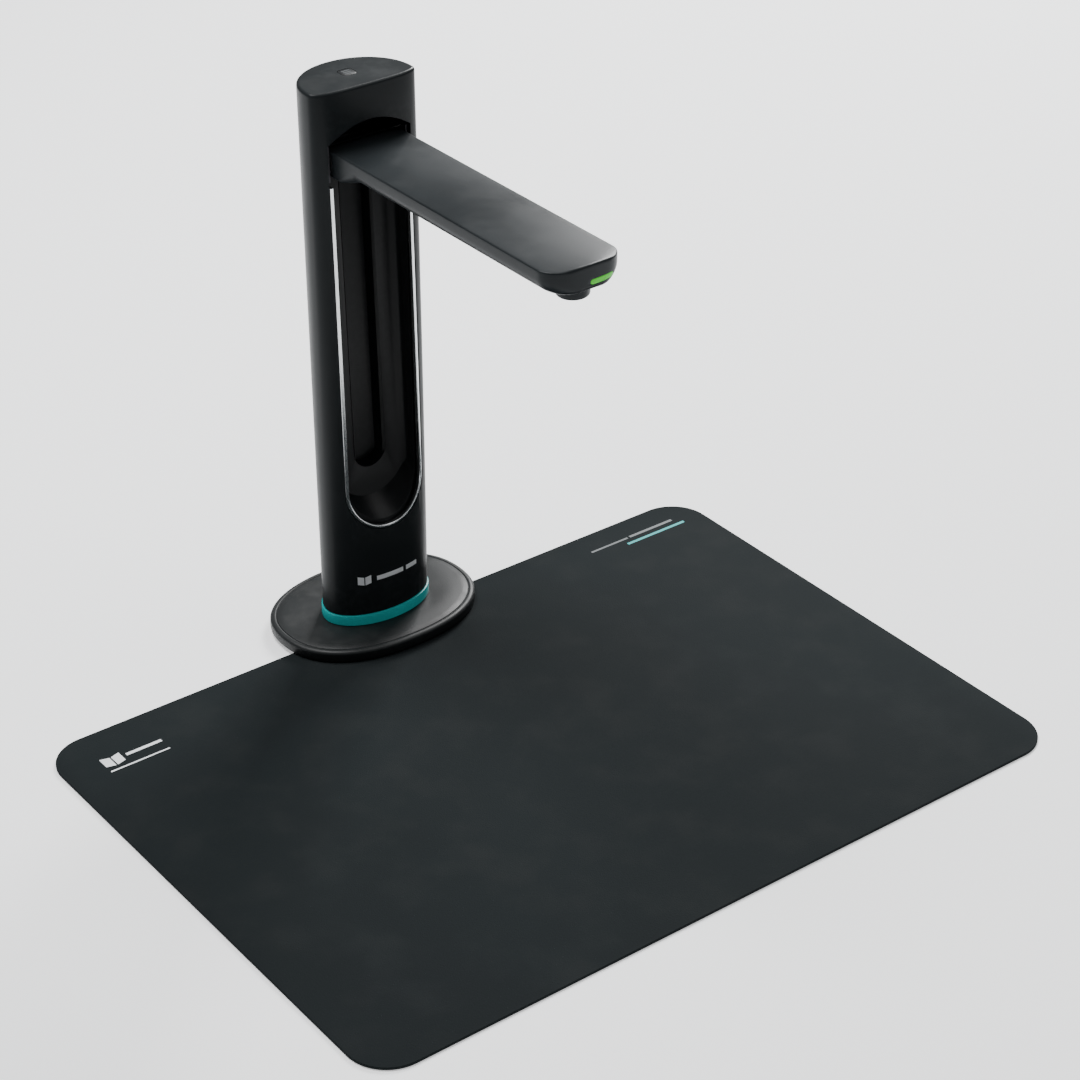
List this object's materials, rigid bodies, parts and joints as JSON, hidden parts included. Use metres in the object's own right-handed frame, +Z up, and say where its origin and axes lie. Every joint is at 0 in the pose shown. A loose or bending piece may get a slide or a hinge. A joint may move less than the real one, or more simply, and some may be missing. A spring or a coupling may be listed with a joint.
{
  "type": "book scanner",
  "caption": "Desktop overhead book scanner: weighted oval base, slotted column with a fold-down camera arm, lit ring, and a flat scanning mat under the base.",
  "frame": {"origin": "middle of the whole scanner's footprint (mat and base together), at the level of the table", "axes": "+X to the right seen from the reader's side, +Y to the back, towards the column, +Z up; the front faces -Y"},
  "size_m": [0.53, 0.447, 0.3965],
  "materials": {
    "base_black": "fine moulded texture, satin matt",
    "column_black": "soft-touch satin black",
    "arm_black": "soft-touch satin black",
    "button_black": "satin black",
    "gloss_black": "polished black",
    "polished_trim": "polished",
    "teal_light_guide": "lit teal light guide",
    "green_indicator": "lit green window",
    "touch_light_window": "faintly lit smoked window",
    "frosted_window": "frosted diffuser",
    "foot_rubber": "matt",
    "zinc_plated_steel": "zinc plated",
    "screw_steel": "zinc plated",
    "dark_pin_steel": "black oxide, ground",
    "hinge_casting": "as cast, black",
    "cast_iron_ballast": "as cast",
    "laser_brass": "turned",
    "washer_black": "moulded, dry-running",
    "circuit_board": "solder mask",
    "socket_shell": "stamped",
    "socket_black": "moulded",
    "lens_black": "anodised look, matt",
    "lens_glass": "coated",
    "mat_surface": "fine-grained black"
  },
  "bodies": {
    "stand": {"base_cover": "base_black", "base_plate": "zinc_plated_steel", "base_weight": "cast_iron_ballast", "foot_front_left": "foot_rubber", "foot_rear_left": "foot_rubber", "foot_front_right": "foot_rubber", "foot_rear_right": "foot_rubber", "base_screw_front_left": "screw_steel", "base_screw_rear_left": "screw_steel", "base_screw_front_right": "screw_steel", "base_screw_rear_right": "screw_steel", "light_ring": "teal_light_guide", "light_ring_board": "circuit_board", "column_collar": "column_black", "column_shell": "column_black", "back_cover": "column_black", "recess_trim": "polished_trim", "recess_tray": "gloss_black", "touch_window": "touch_light_window", "touch_board": "circuit_board", "spine": "zinc_plated_steel", "hinge_yoke": "hinge_casting", "hinge_shroud": "gloss_black", "yoke_screw_left": "screw_steel", "yoke_screw_right": "screw_steel", "hinge_pin": "dark_pin_steel", "hinge_clip_left": "dark_pin_steel", "hinge_clip_right": "dark_pin_steel", "friction_washer_left": "washer_black", "friction_washer_right": "washer_black", "main_board": "circuit_board", "port_board": "circuit_board", "data_socket": "socket_shell", "accessory_socket": "socket_black"},
    "camera_arm": {"arm_upper_cover": "arm_black", "arm_lower_shell": "arm_black", "hinge_knuckle": "hinge_casting", "lens_housing": "arm_black", "lens_barrel": "lens_black", "lens_glass": "lens_glass", "arm_board": "circuit_board", "light_bar_lens": "frosted_window", "light_bar_board": "circuit_board", "laser_module": "laser_brass", "indicator_lens": "green_indicator"},
    "power_button": {"power_button": "button_black"},
    "scan_mat": {"scan_mat": "mat_surface"}
  },
  "joints": [
    {"name": "arm_fold", "type": "hinge", "parent": "stand", "child": "camera_arm", "pos_m": [0, 0.15929, 0.34895], "axis": [1, 0, 0], "range_deg": [0, 88.41]},
    {"name": "power_button_press", "type": "slide", "parent": "stand", "child": "power_button", "axis": [0, -1, 0], "range_m": [0, 0.0008], "stiffness_N_per_m": 800, "springref_m": -0.0004},
    {"name": "mat_slide", "type": "slide", "parent": "stand", "child": "scan_mat", "axis": [0, -1, 0], "range_m": [0, 0.06]}
  ]
}
